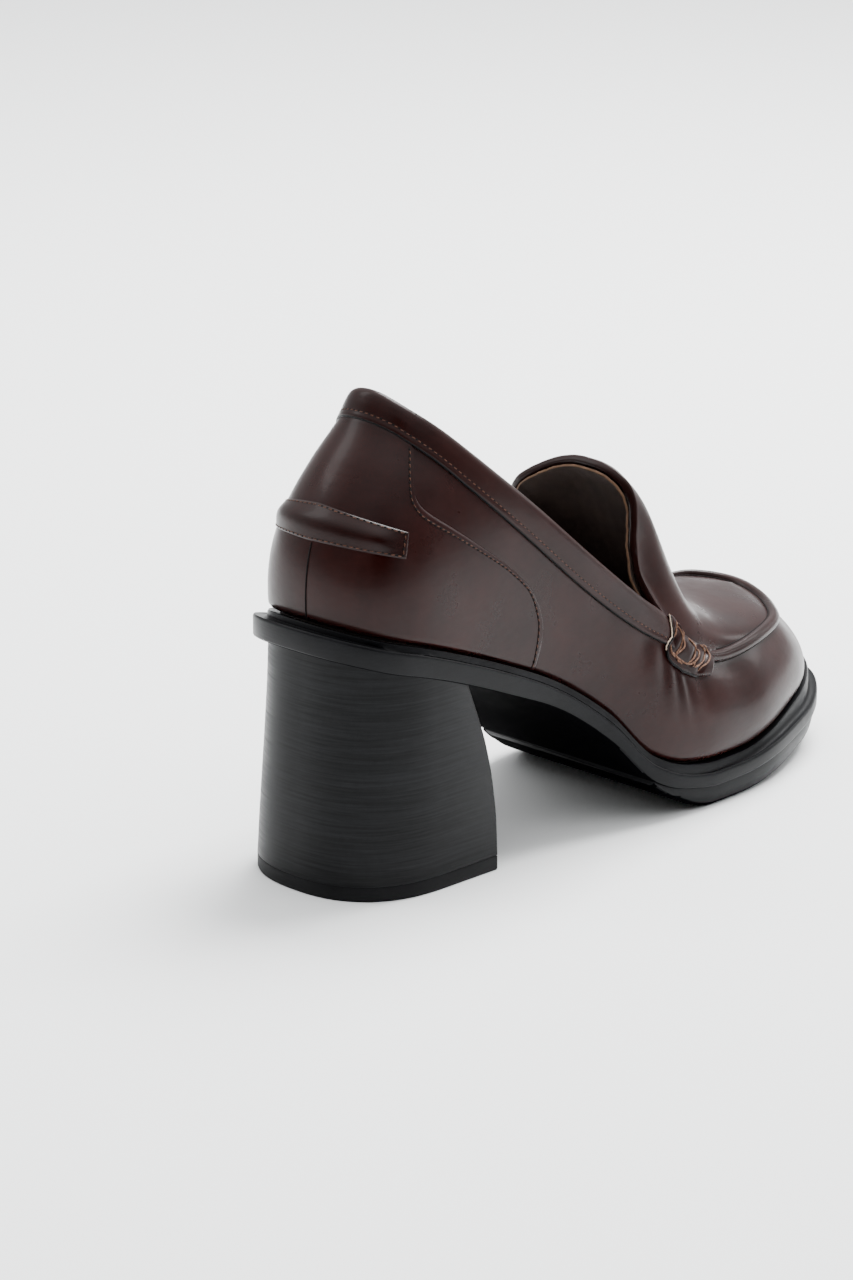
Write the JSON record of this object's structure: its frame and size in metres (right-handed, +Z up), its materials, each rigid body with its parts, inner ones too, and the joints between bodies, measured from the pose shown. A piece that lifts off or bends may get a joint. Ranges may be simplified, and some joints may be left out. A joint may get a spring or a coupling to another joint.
{
  "type": "loafer pump",
  "caption": "Women's right loafer pump: leather upper with moccasin apron and tongue, stitched roll patches, layered sole and high block heel.",
  "frame": {"origin": "on the floor under the middle of the heel's bottom", "axes": "+Y along the shoe to the toe, +X to the outer (lateral) side, +Z up from the floor"},
  "size_m": [0.0819, 0.2283, 0.1433],
  "materials": {
    "upper_leather": "smooth polished dark burgundy-brown leather",
    "trim_leather": "smooth polished dark burgundy-brown leather with black-painted cut edges",
    "sole_rubber": "satin black",
    "heel_stack": "satin black with faint stack lines",
    "lining_leather": "matte lining leather"
  },
  "bodies": {
    "root": {"upper": "upper_leather", "counter_panel": "upper_leather", "collar_binding": "trim_leather", "heel_tab": "trim_leather", "apron_ridge": "trim_leather", "roll_patch_lateral": "trim_leather", "roll_patch_medial": "trim_leather", "sole": "sole_rubber", "outsole": "sole_rubber", "top_lift": "sole_rubber", "heel_block": "heel_stack", "insole": "lining_leather"}
  },
  "joints": []
}
